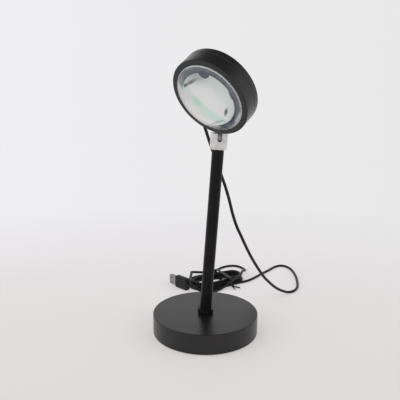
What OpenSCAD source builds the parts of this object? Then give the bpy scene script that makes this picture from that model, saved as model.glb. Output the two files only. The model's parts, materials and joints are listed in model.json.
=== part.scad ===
// Projection lamp: a drum head with a domed lens, on a ball joint, a slim pole and a round weighted base.
// Millimetres. The origin is the centre of the base on the floor, +Z is up, the viewer stands at -Y.

/* [Base] */
// Diameter of the base
base_d = 110; // [90:1:150]
// Height of the top of the base above the floor
base_h = 22; // [20:0.5:40]
// Side wall of the base shell
base_wall = 2; // [1.5:0.1:4]
// Top wall of the base shell
base_top_t = 2.5; // [1.5:0.1:5]
// Rounding of the shell's top edge
base_edge_r = 0.8; // [0.3:0.1:1.4]
// Thickness of the foam foot pad
pad_t = 1; // [0.5:0.1:2]
// How far the pad's rim lies inside the shell's side
pad_inset = 2; // [1:0.5:10]
// Thickness of the plate that closes the base
plate_t = 1.2; // [0.8:0.1:2]
// Thickness of the cast weight
weight_t = 8; // [4:0.5:8]

/* [Pole] */
// Lean of the pole towards +X, in degrees
pole_lean = 3.9; // [0:0.1:4.5]
// Outer diameter of the pole
pole_d = 12; // [11:0.5:16]
// Bore of the pole
pole_bore = 10; // [9:0.1:10.4]
// Distance from the base's top to the cup, along the pole
pole_len = 173; // [100:1:300]
// Width across the flats of the lock nuts
nut_af = 16; // [14:0.5:19]
// Thickness of the lock nuts
nut_t = 4; // [3:0.5:6]
// Thickness of the washer under the weight
washer_t = 1.5; // [1:0.1:2.5]
// Diameter of the washer under the weight
washer_d = 22; // [18:1:30]

/* [Ball joint] */
// Diameter of the ball
ball_d = 14; // [12:0.5:15]
// Outer diameter of the cup
cup_d = 17; // [16.5:0.5:20]
// Height of the cup
cup_h = 16.2; // [15.5:0.1:18]
// Height of the ball's centre above the cup's bottom
ball_up = 12; // [11.5:0.1:12.5]
// Radial clearance of the ball in the cup and on its seat
ball_gap = 0.1; // [0.05:0.01:0.1]
// Diameter of the stud's neck
neck_d = 4; // [3:0.5:4.5]
// Half angle of the cone in which the stud can lean
lean_cone = 41; // [30:1:42]
// Width of the slot in the cup
slot_w = 4.4; // [3.5:0.1:6]
// Height of the centre of the slot's round end above the cup's bottom
slot_up = 10; // [9:0.5:12]
// Turn of the slot about the pole, from -Y towards +X
slot_turn = 3.6; // [-180:0.2:180]
// Distance from the ball's centre to the side of the drum
stud_reach = 13.5; // [13.5:0.5:20]
// Diameter of the stud's thread
stud_d = 5; // [4:0.5:6]

/* [Head] */
// Outer diameter of the drum
head_d = 80; // [76:0.5:95]
// Depth of the drum, front to back
head_depth = 20; // [19:0.5:30]
// Depth of the front housing, up to the seam
front_depth = 13; // [12.5:0.5:14]
// Distance from the front of the drum to the stud's axis
stud_back = 8.5; // [8:0.1:9]
// Rounding of the drum's front edge
front_edge_r = 1; // [0.4:0.1:1.5]
// Rounding of the drum's rear edge
rear_edge_r = 1.5; // [0.5:0.1:2]
// Diameter of the lens
lens_d = 68.8; // [64:0.2:70]
// Depth of the lens seat below the front of the drum
lens_seat = 3.6; // [3:0.1:4.5]
// Height of the lens's straight edge
lens_edge = 3.9; // [2:0.1:6]
// Height of the lens's dome above its edge
lens_sag = 11; // [4:0.5:16]
// Thickness of the gasket under the lens
gasket_t = 0.6; // [0.4:0.1:1]
// Thickness of the shoulder behind the lens
shoulder_t = 1.6; // [1.2:0.1:2]
// Diameter of the opening in the shoulder
shoulder_d = 51.4; // [50:0.2:58]
// Radius of the half-round lugs on the shoulder
lug_r = 5; // [3:0.5:6]
// Inner diameter of the front housing behind the shoulder
cavity_d = 72; // [71:0.1:73]
// Floor of the rear cover
cover_t = 2.4; // [1.8:0.1:3]
// Thickness of the filter disc
filter_t = 1.1; // [0.7:0.1:1.5]
// Thickness of the LED board
board_t = 1.6; // [1:0.1:2]
// Diameter of the LED board
board_d = 34; // [30:1:40]

/* [Rest pose] */
// Turn of the stud's lean about the pole, from -Y towards +X
swing_rest = -16.5; // [-120:0.5:120]
// Lean of the stud away from the pole
tilt_rest = 37; // [-38:0.5:38]
// Turn of the head about the stud
turn_rest = -17.5; // [-90:0.5:90]

/* [Lead] */
// Diameter of the lead
cord_d = 3.3; // [3:0.1:3.6]
// Place of the strain relief round the drum, from the stud
gland_angle = 26; // [22:1:32]
// Length of the strain relief outside the drum
gland_len = 11; // [8:1:14]

/* [Hidden] */
$fn = 96;

eps = 0.01;               // overrun of a cut past a face
slip = 0.1;               // radial clearance of rigid pieces that slide together
thread_gap = 0.05;        // radial clearance of a thread drawn as a plain shaft

// Base and foot of the pole
base_r = base_d / 2;
shell_bore_r = base_r - base_wall;
plate_seat = 0.7;         // step in the shell's wall that holds the plate
nipple_d = pole_bore - 2 * slip;
nipple_grip = 16;         // length of the nipple inside the pole
under_top = base_top_t + weight_t;
foot_hole_r = nipple_d / 2 + (under_top + 2) * tan(pole_lean) + 0.4;
nut_corner_r = nut_af / sqrt(3);
nut_lift = nut_corner_r * tan(pole_lean) + 0.02;        // the leaning nut touches the base at one edge
washer_drop = washer_d / 2 * tan(pole_lean) + 0.02;     // and so does the washer under the weight
washer_s = -under_top / cos(pole_lean) - washer_drop - washer_t;
nipple_low = washer_s - nut_t - 0.8;
tube_foot = nut_lift + nut_t;

// Ball joint, in the pole's frame from the cup's bottom
ball_r = ball_d / 2;
cup_bore_r = ball_r + ball_gap;
insert_h = 3;             // collar of the insert inside the cup
insert_grip = 14;         // spigot of the insert inside the pole
seat_low = insert_h + 0.4;
seat_top = ball_up - 4.5;
spring_r = 2.6;           // middle of the coil
spring_wire = 0.9;
pocket_low = -6;
spring_turns = 4;

// Stud, from the ball's centre
spot_depth = 0.35;        // flat cut into the drum's side for the washer
stud_face = stud_reach + spot_depth;
stud_washer_t = 0.6;
stud_nut_t = 2.5;
stud_nut_af = 8;
stud_nut_low = stud_face - stud_washer_t - stud_nut_t;
neck_top = stud_nut_low - 0.4;
boss_deep = 5;            // inward length of the stud's boss beyond the cavity wall

// Head, along the optical axis, zero at the front of the drum and negative inwards
head_r = head_d / 2;
lens_r = lens_d / 2;
bore_r = lens_r + slip;
cavity_r = cavity_d / 2;
shoulder_r = shoulder_d / 2;
shoulder_back = -lens_seat - shoulder_t;
lens_back = -lens_seat + gasket_t;
lens_rim = lens_back + lens_edge;
dome_r = (lens_r * lens_r + lens_sag * lens_sag) / (2 * lens_sag);
seam_gap = 0.05;
seam_bevel = 0.35;
floor_z = -head_depth + cover_t;
spigot_h = 2;             // reach of the rear cover into the front housing
spigot_r = cavity_r - slip;
cover_bore_r = spigot_r - 1.7;
pedestal_h = 1.5;
board_back = floor_z + pedestal_h;
board_front = board_back + board_t;
screw_circle = cavity_r - 3.2;
screw_post_r = 3.5;
post_gap = 0.3;           // the cover's posts end this far short of the seam
screw_angles = [90, 210, 330];
lug_angles = [96, 216, 336];
gasket_inset = 0.3;       // the gasket's edge lies this far back from the shoulder's
disc_r = shoulder_r + 0.6;
filter_back = shoulder_back - filter_t;
mouth_r = disc_r - 2.2;
throat_r = 7;
reflector_wall = 1.2;
led_r = 5.5;
board_screw_x = 14;

// Strain relief, outwards along its own axis from the drum's centre line
gland_z = -(front_depth + seam_bevel + head_depth - rear_edge_r) / 2;
gland_flange_r = cord_d / 2 + 0.75;
gland_neck_r = cord_d / 2 + 0.3;
gland_inner = cover_bore_r - 1.4;       // inner face of the flange inside the cover
gland_seat = head_r - 0.3;
gland_tip = head_r + gland_len;
gland_dir = [-sin(gland_angle), -cos(gland_angle), 0];

// The chain from the floor to the head as functions, for the lead's first points
function turn_x(a, v) = [v.x, v.y * cos(a) - v.z * sin(a), v.y * sin(a) + v.z * cos(a)];
function turn_y(a, v) = [v.x * cos(a) + v.z * sin(a), v.y, -v.x * sin(a) + v.z * cos(a)];
function turn_z(a, v) = [v.x * cos(a) - v.y * sin(a), v.x * sin(a) + v.y * cos(a), v.z];
function head_turned(v) = turn_z(swing_rest, turn_x(tilt_rest, turn_z(turn_rest, turn_x(90, v))));
function world_dir(v) = turn_y(pole_lean, head_turned(v));
function stud_to_world(v) = turn_y(pole_lean, turn_z(swing_rest, turn_x(tilt_rest, v)));
ball_world = [0, 0, base_h] + turn_y(pole_lean, [0, 0, pole_len + ball_up]);
drum_centre = ball_world + stud_to_world([0, 0, stud_reach + head_r]);
function head_point(v) = drum_centre + world_dir([v.x, v.y, v.z + stud_back]);
lead_start = head_point((gland_tip + thread_gap) * gland_dir + [0, 0, gland_z]);
lead_dir = world_dir(gland_dir);

// Route of the lead from the strain relief to the hank
drop_route = concat([lead_start, lead_start + 2 * lead_dir, lead_start + 4 * lead_dir], [
    [-1.6, 19.5, 215], [1.1, 19.5, 207], [4.5, 18.5, 197], [8.8, 17.5, 185], [16.3, 18, 164],
    [20.5, 20, 152], [25, 24, 137], [29, 29, 121], [33.5, 34, 107], [39, 40, 94], [52, 54, 65],
    [67, 69, 38], [75.5, 78, 26], [86, 88, 14], [95.5, 96, 6.5], [104, 101.5, 2.4], [112, 107, 1.8],
    [118, 118, 1.8], [121, 133, 1.8], [123, 157, 1.8], [121.5, 181, 1.8], [117, 195, 1.8],
    [109, 200.5, 1.8], [99.5, 195, 1.8], [89, 181, 1.8], [78.5, 168, 1.8], [67, 152.5, 1.8],
    [58.5, 143, 1.8], [51.5, 138, 1.8]]);
// Loose turn behind the hank: out of its left end, along the floor and back onto its right end
loop_route = [[-17, 147, 9], [-17, 155, 8.4], [-9.5, 160, 6.6], [-0.5, 165, 4.6], [9, 172, 2.8],
    [18, 183, 1.8], [27, 193.5, 1.8], [37, 199, 1.8], [47, 197.5, 1.8], [54, 189, 1.8],
    [56.5, 178, 3.2], [54, 167, 7]];
drop_steps = 2;           // rings for each span of a route
cord_sides = 8;

// Hank, in its own frame: two round ends and the tangents between them
hank_at = [1, 131, 0.9];
hank_turn = 27;
hank_reach = 39.5;        // between the centres of the ends
hank_left_r = 24.5;
hank_right_r = 19;
hank_h = 9.9;
hank_taper = asin((hank_left_r - hank_right_r) / hank_reach);
tie_x = 27;
tie_w = 4;
tie_t = 0.8;
tie_half = (hank_left_r - tie_x * sin(hank_taper)) / cos(hank_taper);   // half width of the hank at the tie
tail_h = 2.4;             // the tie's tails stand on edge
tail_turns = [-12, 38];
tail_ls = [13, 20];

// Plug: it stands on its narrow edge
plug_at = [-28, 119];
plug_turn = 135;
mold_l = 20;
mold_w = 15.5;
mold_t = 8;
mold_r = 2.2;
plug_up = mold_w / 2;
relief_l = 8;
shell_l = 12;
shell_w = 12;
shell_t = 4.5;
shell_wall = 0.35;
plug_axis = turn_z(plug_turn, [1, 0, 0]);
relief_end = [plug_at.x, plug_at.y, plug_up] - (mold_l / 2 + relief_l) * plug_axis;

// Route of the lead from the hank to the plug
tail_route = concat([[30, 119.5, 6.2], [24, 114.5, 3.4], [17, 108.5, 1.8], [9, 102.5, 1.8], [1.5, 99.3, 3],
    [-5.5, 99.3, 5.2]], [for (d = [6, 3, 0]) relief_end - d * plug_axis + [0, 0, -d / 10 * d / 6]]);

// Frames
module on_pole(s = 0) {
    translate([0, 0, base_h]) rotate([0, pole_lean, 0]) translate([0, 0, s]) children();
}
module on_cup() {
    on_pole(pole_len) children();
}
module on_stud() {
    on_pole(pole_len + ball_up) rotate([0, 0, swing_rest]) rotate([tilt_rest, 0, 0]) children();
}
module in_head() {
    on_stud() translate([0, 0, stud_reach + head_r]) rotate([0, 0, turn_rest]) rotate([90, 0, 0])
        translate([0, 0, stud_back]) children();
}
module on_gland() {
    in_head() translate([0, 0, gland_z]) rotate([0, 0, -90 - gland_angle]) rotate([0, 90, 0]) children();
}
module in_hank() {
    translate(hank_at) rotate([0, 0, hank_turn]) children();
}
module in_plug() {
    translate([plug_at.x, plug_at.y, plug_up]) rotate([0, 0, plug_turn]) rotate([0, 90, 0]) children();
}

// Shapes used more than once
function arc(cx, cy, r, from, to, steps) =
    [for (k = [0:steps]) let (a = from + (to - from) * k / steps) [cx + r * cos(a), cy + r * sin(a)]];
module ring(outer_r, inner_r, h) {
    difference() {
        cylinder(h = h, r = outer_r);
        translate([0, 0, -eps]) cylinder(h = h + 2 * eps, r = inner_r);
    }
}
module hex_nut(af, t, bore_radius) {
    difference() {
        intersection() {
            rotate([0, 0, 30]) cylinder(h = t, r = af / sqrt(3), $fn = 6);
            union() {
                cylinder(h = t / 2, r1 = af / 2 + t / 8, r2 = af / 2 + t);
                translate([0, 0, t / 2]) cylinder(h = t / 2, r1 = af / 2 + t, r2 = af / 2 + t / 8);
            }
        }
        translate([0, 0, -eps]) cylinder(h = t + 2 * eps, r = bore_radius);
    }
}
module pan_screw(head_radius, head_t, shank_r, shank_l) {
    difference() {
        union() {
            cylinder(h = head_t, r = head_radius);
            translate([0, 0, -shank_l]) cylinder(h = shank_l + eps, r = shank_r);
        }
        for (a = [0, 90]) rotate([0, 0, a]) translate([-head_radius * 0.6, -0.3, head_t / 2])
            cube([head_radius * 1.2, 0.6, head_t]);
    }
}

// Round tube swept along a smooth curve through hand-placed points
function unit(v) = v / norm(v);
function curve_point(p, i, t) =
    let (last = len(p) - 1, a = p[max(i - 1, 0)], b = p[i], c = p[min(i + 1, last)], d = p[min(i + 2, last)])
    0.5 * (2 * b + (c - a) * t + (2 * a - 5 * b + 4 * c - d) * t * t + (3 * b - a - 3 * c + d) * t * t * t);
function curve(p, steps) =
    concat([for (i = [0:len(p) - 2], k = [0:steps - 1]) curve_point(p, i, k / steps)], [p[len(p) - 1]]);
function tangents(q) =
    [for (i = [0:len(q) - 1]) unit(q[min(i + 1, len(q) - 1)] - q[max(i - 1, 0)])];
function square_to(v, t) = unit(v - (v * t) * t);
function normals(t) =
    [for (i = 0, n = square_to([0.3, 0.2, 1], t[0]); i < len(t);
          i = i + 1, n = i < len(t) ? square_to(n, t[i]) : n) n];
module tube(q, d, sides) {
    t = tangents(q);
    n = normals(t);
    m = len(q);
    points = [for (i = [0:m - 1], k = [0:sides - 1])
        let (a = 360 * k / sides) q[i] + d / 2 * (cos(a) * n[i] + sin(a) * cross(t[i], n[i]))];
    sides_faces = [for (i = [0:m - 2], k = [0:sides - 1])
        let (j = (k + 1) % sides, a = i * sides, b = a + sides) each
            [[a + k, b + k, b + j], [a + k, b + j, a + j]]];
    polyhedron(points, concat(sides_faces, [[for (k = [0:sides - 1]) k],
        [for (k = [sides - 1:-1:0]) (m - 1) * sides + k]]), convexity = 8);
}

// Base
module foot_pad() {
    color("dimgray") cylinder(h = pad_t, r = base_r - pad_inset);
}
module bottom_plate() {
    color("gray") translate([0, 0, pad_t]) cylinder(h = plate_t, r = shell_bore_r + plate_seat - slip);
}
module base_shell() {
    top = base_h;
    e = base_edge_r;
    color([0.2, 0.2, 0.2]) rotate_extrude() polygon(concat(
        [[foot_hole_r, top]],
        arc(base_r - e, top - e, e, 90, 0, 5),
        [[base_r, pad_t + 0.4], [base_r - 0.4, pad_t],
         [shell_bore_r + plate_seat, pad_t], [shell_bore_r + plate_seat, pad_t + plate_t],
         [shell_bore_r, pad_t + plate_t], [shell_bore_r, top - base_top_t],
         [foot_hole_r, top - base_top_t]]));
}
module base_weight() {
    color("darkslategray") translate([0, 0, base_h - under_top])
        ring(shell_bore_r - 3 * slip, foot_hole_r, weight_t);
}
module bottom_washer() {
    color("silver") on_pole(washer_s) ring(washer_d / 2, nipple_d / 2 + 2 * slip, washer_t);
}
module bottom_nut() {
    color("silver") on_pole(washer_s - nut_t) hex_nut(nut_af, nut_t, nipple_d / 2 + thread_gap);
}
module foot_nipple() {
    color("silver") on_pole(nipple_low) cylinder(h = tube_foot + nipple_grip - nipple_low, r = nipple_d / 2);
}
module lock_nut() {
    color([0.12, 0.12, 0.12]) on_pole(nut_lift) hex_nut(nut_af, nut_t, nipple_d / 2 + thread_gap);
}

// Pole
module pole_tube() {
    color([0.15, 0.15, 0.15]) on_pole(tube_foot) ring(pole_d / 2, pole_bore / 2, pole_len - tube_foot);
}
module neck_insert() {
    color("darkgray") on_cup() difference() {
        union() {
            translate([0, 0, -insert_grip]) cylinder(h = insert_grip + eps, r = pole_bore / 2 - slip);
            cylinder(h = insert_h, r = cup_bore_r - thread_gap);
        }
        translate([0, 0, pocket_low])
            cylinder(h = insert_h - pocket_low + eps, r = spring_r + spring_wire / 2 + 0.3);
    }
}
module neck_spring() {
    rise = seat_low - 0.3 - pocket_low - spring_wire;
    per_turn = 12;
    coil = [for (k = [0:spring_turns * per_turn])
        let (a = 360 * k / per_turn) [spring_r * cos(a), spring_r * sin(a),
            pocket_low + spring_wire / 2 + 0.02 + rise * k / (spring_turns * per_turn)]];
    color("silver") on_cup() tube(coil, spring_wire, 6);
}

// Ball joint
module cup_mouth() {
    spread = (neck_d / 2 + 0.3) / cos(lean_cone);
    reach = cup_h - ball_up + 1;
    translate([0, 0, ball_up]) cylinder(h = reach, r1 = spread, r2 = spread + reach * tan(lean_cone));
}
module cup_slot() {
    rotate([0, 0, slot_turn]) translate([0, 0, slot_up]) {
        rotate([90, 0, 0]) cylinder(h = cup_d, r = slot_w / 2);
        translate([-slot_w / 2, -cup_d, 0]) cube([slot_w, cup_d, cup_h]);
    }
}
module ball_cup() {
    color("silver") on_cup() difference() {
        rotate_extrude() polygon([[0, 0], [cup_d / 2 - 0.4, 0], [cup_d / 2, 0.4],
            [cup_d / 2, cup_h - 0.4], [cup_d / 2 - 0.4, cup_h], [0, cup_h]]);
        translate([0, 0, -eps]) cylinder(h = ball_up + eps, r = cup_bore_r);
        translate([0, 0, ball_up]) sphere(r = cup_bore_r);
        cup_mouth();
        cup_slot();
    }
}
module ball_seat() {
    color("ivory") on_cup() difference() {
        translate([0, 0, seat_low]) ring(cup_bore_r - slip, spring_r - spring_wire, seat_top - seat_low);
        translate([0, 0, ball_up]) sphere(r = cup_bore_r);
    }
}
module ball_stud() {
    color("silver") on_stud() union() {
        sphere(r = ball_r);
        cylinder(h = neck_top + eps, r = neck_d / 2);
        translate([0, 0, neck_top])
            cylinder(h = stud_reach + head_r - cavity_r + boss_deep - neck_top, r = stud_d / 2);
    }
}
module stud_washer() {
    color("silver") on_stud() translate([0, 0, stud_face - stud_washer_t])
        ring(stud_nut_af / 2, stud_d / 2 + thread_gap, stud_washer_t);
}
module stud_nut() {
    color("silver") on_stud() translate([0, 0, stud_nut_low])
        rotate([0, 0, turn_rest]) hex_nut(stud_nut_af, stud_nut_t, stud_d / 2 + thread_gap);
}

// Head
module around(angles, r) {
    for (a = angles) rotate([0, 0, a]) translate([r, 0, 0]) children();
}
module lugs(edge_r, r, h) {
    intersection() {
        around(lug_angles, shoulder_r + 1) cylinder(h = h, r = r);
        cylinder(h = h, r = edge_r + 2);
    }
}
module stud_cut(r, from_y, to_y) {
    translate([0, from_y, -stud_back]) rotate([90, 0, 0]) cylinder(h = from_y - to_y, r = r);
}
module front_housing() {
    e = front_edge_r;
    color([0.16, 0.16, 0.16]) in_head() difference() {
        union() {
            rotate_extrude() polygon(concat(
                [[bore_r + 0.5, 0]], arc(head_r - e, -e, e, 90, 0, 6),
                [[head_r, seam_bevel - front_depth], [head_r - seam_bevel, -front_depth],
                 [cavity_r, -front_depth], [cavity_r, shoulder_back], [shoulder_r, shoulder_back],
                 [shoulder_r, -lens_seat], [bore_r, -lens_seat], [bore_r, -0.5]]));
            translate([0, 0, shoulder_back]) lugs(shoulder_r, lug_r, shoulder_t);
            translate([0, 0, -front_depth]) around(screw_angles, screw_circle)
                cylinder(h = front_depth + shoulder_back + eps, r = screw_post_r);
            intersection() {
                translate([-6, -cavity_r - 1, shoulder_back - stud_back + 1.6])
                    cube([12, boss_deep + 1, stud_back - 1.6 + eps]);
                cylinder(h = 4 * head_depth, r = head_r - 1, center = true);
            }
        }
        translate([0, 0, -front_depth - eps]) around(screw_angles, screw_circle)
            cylinder(h = front_depth + shoulder_back - 1, r = 1.3);
        stud_cut(stud_d / 2 + thread_gap, 0, -head_r - 1);
        stud_cut(stud_nut_af / 2 + 0.3, -(head_r - spot_depth), -head_r - 2);
    }
}
module lens() {
    color("lightcyan", 0.4) in_head() intersection() {
        translate([0, 0, lens_back]) cylinder(h = lens_edge + lens_sag + 1, r = lens_r);
        translate([0, 0, lens_rim + lens_sag - dome_r]) sphere(r = dome_r, $fn = 160);
    }
}
module lens_gasket() {
    color("slategray") in_head() translate([0, 0, -lens_seat]) {
        ring(lens_r - slip, shoulder_r + gasket_inset, gasket_t);
        lugs(shoulder_r + gasket_inset, lug_r - gasket_inset, gasket_t);
    }
}
module filter_disc() {
    color("palegreen", 0.6) in_head() translate([0, 0, filter_back]) cylinder(h = filter_t, r = disc_r);
}
module reflector() {
    w = reflector_wall;
    color("whitesmoke") in_head() rotate_extrude() polygon([
        [disc_r, filter_back], [disc_r, filter_back - w], [mouth_r + w, filter_back - w],
        [throat_r + w, board_front], [throat_r, board_front], [mouth_r, filter_back]]);
}
module led_chip() {
    color("gold") in_head() translate([0, 0, board_front]) cylinder(h = 0.9, r = led_r);
}
module led_board() {
    color("white") in_head() translate([0, 0, board_back]) difference() {
        cylinder(h = board_t, r = board_d / 2);
        for (x = [-board_screw_x, board_screw_x]) translate([x, 0, -eps])
            cylinder(h = board_t + 2 * eps, r = 1.45);
    }
}
module board_screws() {
    color("silver") in_head() for (x = [-board_screw_x, board_screw_x])
        translate([x, 0, board_front]) pan_screw(2.1, 1.2, 1.2, board_t + pedestal_h + 1);
}
module driver_resistor() {
    color("dimgray") in_head() for (x = [-3.5, 1]) translate([x, 11.5, board_front]) cube([2.5, 4, 1]);
}
module led_wires() {
    start = [-5, -12, board_front + 0.75];
    finish = (cover_bore_r - 1.5) * gland_dir + [0, 0, gland_z];
    side = [-gland_dir.y, gland_dir.x, 0];
    color("firebrick") in_head() for (s = [-1, 1])
        tube(curve([start + s * [1.2, 0, 0], start + [s * 1.2, -3.5, 0.1],
            (start + finish) / 2 + s * 0.9 * side, finish - 3 * gland_dir + s * 0.8 * side,
            finish + s * 0.8 * side], 3), 1.3, 6);
}
module rear_cover() {
    e = rear_edge_r;
    seam = -front_depth - seam_gap;
    color([0.16, 0.16, 0.16]) in_head() difference() {
        union() {
            rotate_extrude() polygon(concat(
                [[0, -head_depth]], arc(head_r - e, e - head_depth, e, -90, 0, 6),
                [[head_r, seam - seam_bevel], [head_r - seam_bevel, seam], [spigot_r, seam],
                 [spigot_r, seam + spigot_h], [cover_bore_r, seam + spigot_h],
                 [cover_bore_r, floor_z], [0, floor_z]]));
            translate([0, 0, floor_z]) {
                cylinder(h = pedestal_h, r = board_d / 2);
                around(screw_angles, screw_circle) cylinder(h = seam - floor_z - post_gap, r = screw_post_r);
            }
        }
        // the spigot leaves room for the front housing's posts and for the stud's boss
        translate([0, 0, seam]) {
            around(screw_angles, screw_circle) {
                cylinder(h = spigot_h + eps, r = screw_post_r + 2 * slip);
                translate([0, -screw_post_r - 2 * slip, 0])
                    cube([cavity_r, 2 * screw_post_r + 4 * slip, spigot_h + eps]);
            }
            translate([-6.4, -head_r, 0]) cube([12.8, 10, spigot_h + eps]);
        }
        around(screw_angles, screw_circle) {
            translate([0, 0, -head_depth - eps]) cylinder(h = head_depth, r = 1.6);
            translate([0, 0, -head_depth - eps]) cylinder(h = 1.6, r = 3);
        }
        for (x = [-board_screw_x, board_screw_x]) translate([x, 0, board_back - pedestal_h - 1.2])
            cylinder(h = pedestal_h + 2, r = 1.2 + thread_gap);
        translate([0, 0, gland_z]) rotate([0, 0, -90 - gland_angle]) rotate([0, 90, 0]) {
            translate([0, 0, gland_inner - 1])
                cylinder(h = cover_bore_r - 0.2 - gland_inner + 1, r = gland_flange_r + slip);
            translate([0, 0, gland_inner]) cylinder(h = head_r - gland_inner, r = gland_neck_r + slip);
            translate([0, 0, gland_seat]) cylinder(h = 3, r = gland_flange_r + slip);
        }
    }
}
module cover_screws() {
    color("dimgray") in_head() translate([0, 0, 1.5 - head_depth]) around(screw_angles, screw_circle)
        rotate([180, 0, 0]) pan_screw(2.8, 1.4, 1.25, head_depth + shoulder_back - 3.2);
}
module cord_gland() {
    r0 = gland_flange_r;
    ribs = 5;
    pitch = (gland_len - 2.6) / ribs;
    start_r = cord_d / 2 + 1;
    end_r = cord_d / 2 + 0.45;
    ribbed = [for (k = [0:ribs - 1]) let (r = start_r + (end_r - start_r) * (k + 0.5) / ribs) each
        [[r, gland_seat + 1.6 + k * pitch + 0.1], [r, gland_seat + 1.6 + (k + 0.6) * pitch],
         [r - 0.35, gland_seat + 1.6 + (k + 0.65) * pitch], [r - 0.35, gland_seat + 1.6 + (k + 1) * pitch]]];
    color([0.1, 0.1, 0.1]) on_gland() rotate_extrude() polygon(concat(
        [[0, gland_inner], [r0, gland_inner], [r0, cover_bore_r - 0.3], [gland_neck_r, cover_bore_r - 0.3],
         [gland_neck_r, gland_seat], [r0, gland_seat], [r0, gland_seat + 1.6]], ribbed,
        [[end_r, gland_tip - 0.6], [end_r - 0.2, gland_tip], [0, gland_tip]]));
}

// Lead
module cord_drop() {
    color([0.1, 0.1, 0.1]) tube(curve(drop_route, drop_steps), cord_d, cord_sides);
}
module cord_loop() {
    color([0.1, 0.1, 0.1]) tube(loop_route, cord_d, cord_sides);
}
module cord_tail() {
    color([0.1, 0.1, 0.1]) tube(tail_route, cord_d, cord_sides);
}
module hank_block(grow, h) {
    left = hank_left_r + grow;
    right = hank_right_r + grow;
    s = sin(hank_taper);
    c = cos(hank_taper);
    cylinder(h = h, r = left);
    translate([hank_reach, 0, 0]) cylinder(h = h, r = right);
    linear_extrude(h) polygon([[left * s, left * c], [left * s, -left * c],
        [hank_reach + right * s, -right * c], [hank_reach + right * s, right * c]]);
}
module cord_hank() {
    color([0.12, 0.12, 0.12]) in_hank() hank_block(0, hank_h);
}
module twist_tie() {
    front = -tie_half - tie_t;
    twist_l = 5;
    color([0.08, 0.08, 0.08]) in_hank() {
        difference() {
            intersection() {
                translate([0, 0, -tie_t]) hank_block(tie_t, hank_h + 2 * tie_t);
                translate([tie_x - tie_w / 2, -hank_left_r - 2, -tie_t])
                    cube([tie_w, 2 * hank_left_r + 4, hank_h + 2 * tie_t]);
            }
            hank_block(0, hank_h);
        }
        translate([tie_x, 0, 0]) {
            translate([0, front + tie_w * tan(hank_taper), tail_h / 2]) rotate([90, 0, 0])
                cylinder(h = twist_l, r = tail_h / 2);
            translate([0, front - twist_l + 0.8, 0]) for (k = [0, 1]) rotate([0, 0, tail_turns[k]])
                translate([0, -tail_ls[k] / 2, tail_h / 2]) cube([tie_t, tail_ls[k], tail_h], center = true);
        }
    }
}

// Plug
module rounded_bar(w, t, l, r) {
    linear_extrude(l) {
        square([w - 2 * r, t], center = true);
        square([w, t - 2 * r], center = true);
        for (x = [r - w / 2, w / 2 - r], y = [r - t / 2, t / 2 - r]) translate([x, y]) circle(r);
    }
}
module usb_overmold() {
    grip_l = 1.2;
    color([0.1, 0.1, 0.1]) in_plug() difference() {
        union() {
            translate([0, 0, -mold_l / 2]) rounded_bar(mold_w, mold_t, mold_l, mold_r);
            translate([0, 0, -mold_l / 2 - relief_l])
                cylinder(h = relief_l + eps, r1 = cord_d / 2 + 0.4, r2 = mold_t / 2 - 0.9);
        }
        for (s = [-1, 1], k = [-1, 0, 1])
            translate([-mold_w / 2 + 3, s * (mold_t / 2 - 0.2) - 0.25, 2.6 * k - grip_l / 2])
                cube([mold_w - 6, 0.5, grip_l]);
    }
}
module usb_shell() {
    color("silver") in_plug() translate([0, 0, mold_l / 2]) difference() {
        translate([-shell_w / 2, -shell_t / 2, 0]) cube([shell_w, shell_t, shell_l]);
        translate([shell_wall - shell_w / 2, shell_wall - shell_t / 2, 0.5])
            cube([shell_w - 2 * shell_wall, shell_t - 2 * shell_wall, shell_l]);
        for (x = [-3, 3]) translate([x - 1.25, -shell_t, 6.2]) cube([2.5, 2 * shell_t, 2.5]);
    }
}
module usb_tongue() {
    color("white") in_plug() translate([0.5 - shell_w / 2, shell_wall - shell_t / 2, mold_l / 2 + 0.5])
        cube([shell_w - 1, 1.8, shell_l - 1]);
}

foot_pad();
bottom_plate();
base_shell();
base_weight();
bottom_washer();
bottom_nut();
foot_nipple();
lock_nut();
pole_tube();
neck_insert();
neck_spring();
ball_cup();
ball_seat();
ball_stud();
stud_washer();
stud_nut();
front_housing();
lens();
lens_gasket();
filter_disc();
reflector();
led_chip();
led_board();
board_screws();
driver_resistor();
led_wires();
rear_cover();
cover_screws();
cord_gland();
cord_drop();
cord_hank();
cord_loop();
twist_tie();
cord_tail();
usb_overmold();
usb_shell();
usb_tongue();
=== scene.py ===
# Projection lamp on a ball joint, with its lead tied in a hank: materials, lead, plug, lens and studio.
# Metres. +Z is up, the viewer stands at -Y, and the centre of the base lies at the origin on the floor.
import math

import bpy
from mathutils import Matrix, Vector
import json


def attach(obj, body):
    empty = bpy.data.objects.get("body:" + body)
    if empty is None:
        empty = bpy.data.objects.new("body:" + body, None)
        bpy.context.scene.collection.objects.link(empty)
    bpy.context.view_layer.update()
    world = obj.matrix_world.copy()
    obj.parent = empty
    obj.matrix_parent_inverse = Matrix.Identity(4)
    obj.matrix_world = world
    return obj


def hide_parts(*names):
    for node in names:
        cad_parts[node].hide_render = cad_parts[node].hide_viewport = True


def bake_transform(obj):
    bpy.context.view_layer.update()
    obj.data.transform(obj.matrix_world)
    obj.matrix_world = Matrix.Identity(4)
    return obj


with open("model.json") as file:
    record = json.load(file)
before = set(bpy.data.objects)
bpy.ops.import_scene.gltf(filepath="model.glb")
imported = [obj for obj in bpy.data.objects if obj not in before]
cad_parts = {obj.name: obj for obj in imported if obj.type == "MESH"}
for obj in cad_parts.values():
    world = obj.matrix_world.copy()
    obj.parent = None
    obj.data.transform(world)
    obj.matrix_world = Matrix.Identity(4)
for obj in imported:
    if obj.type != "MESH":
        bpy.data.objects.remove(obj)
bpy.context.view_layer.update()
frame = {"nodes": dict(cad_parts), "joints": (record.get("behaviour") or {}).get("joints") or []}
nodes = frame["nodes"]
mm = 0.001
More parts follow.
